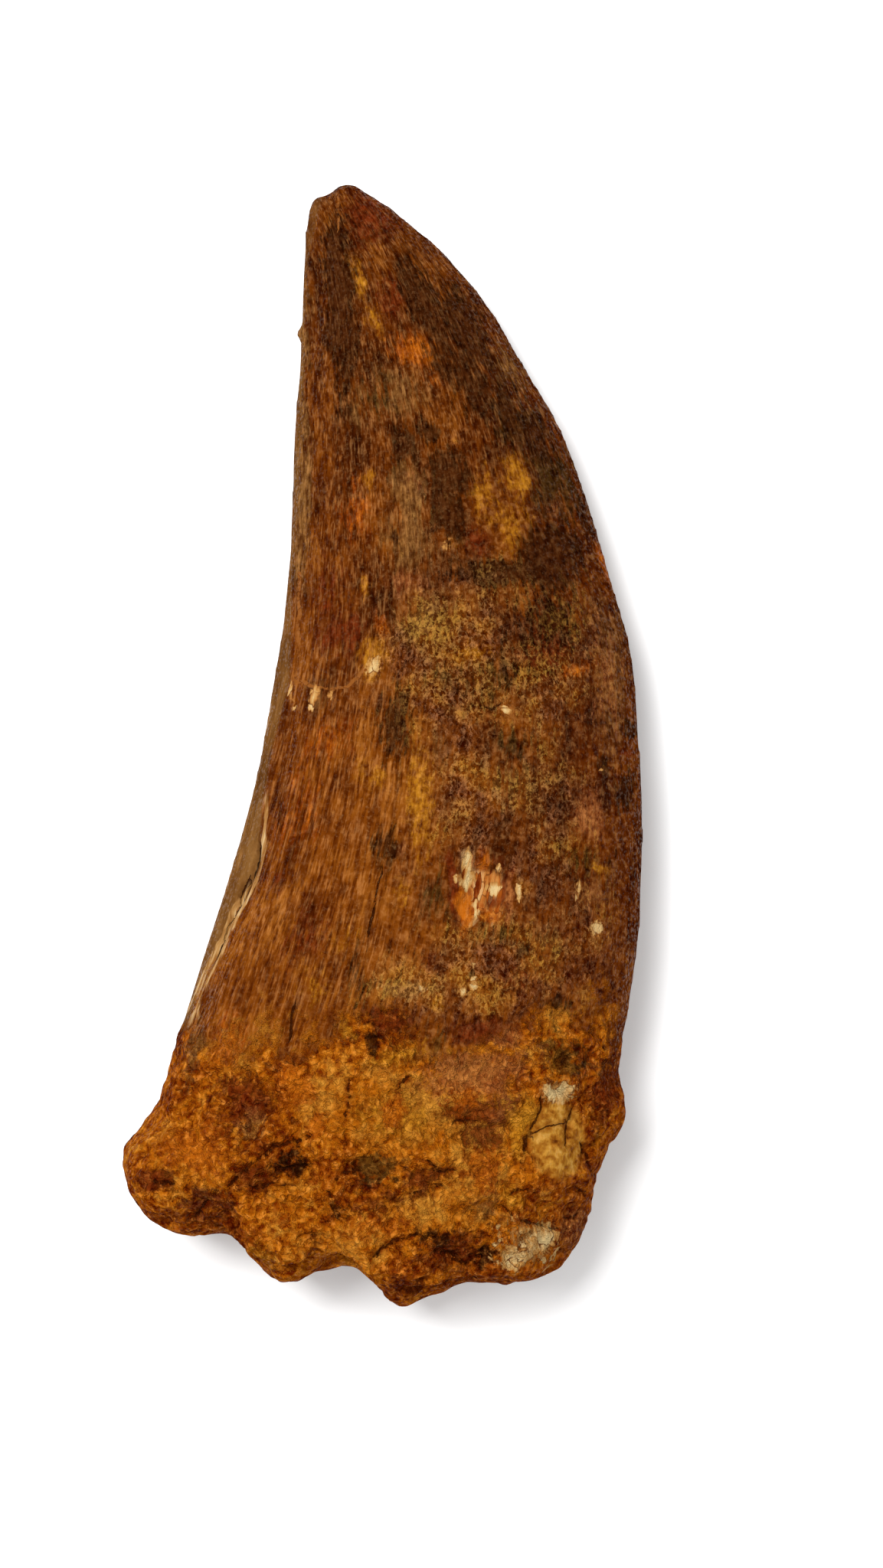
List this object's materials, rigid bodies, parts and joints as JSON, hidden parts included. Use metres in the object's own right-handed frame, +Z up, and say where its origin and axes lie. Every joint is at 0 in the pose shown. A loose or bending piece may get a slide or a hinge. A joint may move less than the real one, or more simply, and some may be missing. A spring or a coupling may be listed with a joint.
{
  "type": "fossil dinosaur tooth",
  "caption": "Fossil dinosaur tooth lying on its side: a curved, flattened crown with a cutting ridge along its hollowed edge, and a rough, lobed, broken root.",
  "frame": {"origin": "under the middle of the tooth's bounding box, on the surface that it lies on", "axes": "+Y from the root towards the tip, +X from the hollowed back edge towards the bulging front edge, +Z up from the surface"},
  "size_m": [0.0484, 0.1056, 0.0224],
  "materials": {
    "fossil_tooth": "satin brown enamel with fine lengthwise streaks on the crown; matt sandy ochre on the root"
  },
  "bodies": {
    "root": {"tooth": "fossil_tooth"}
  },
  "joints": []
}
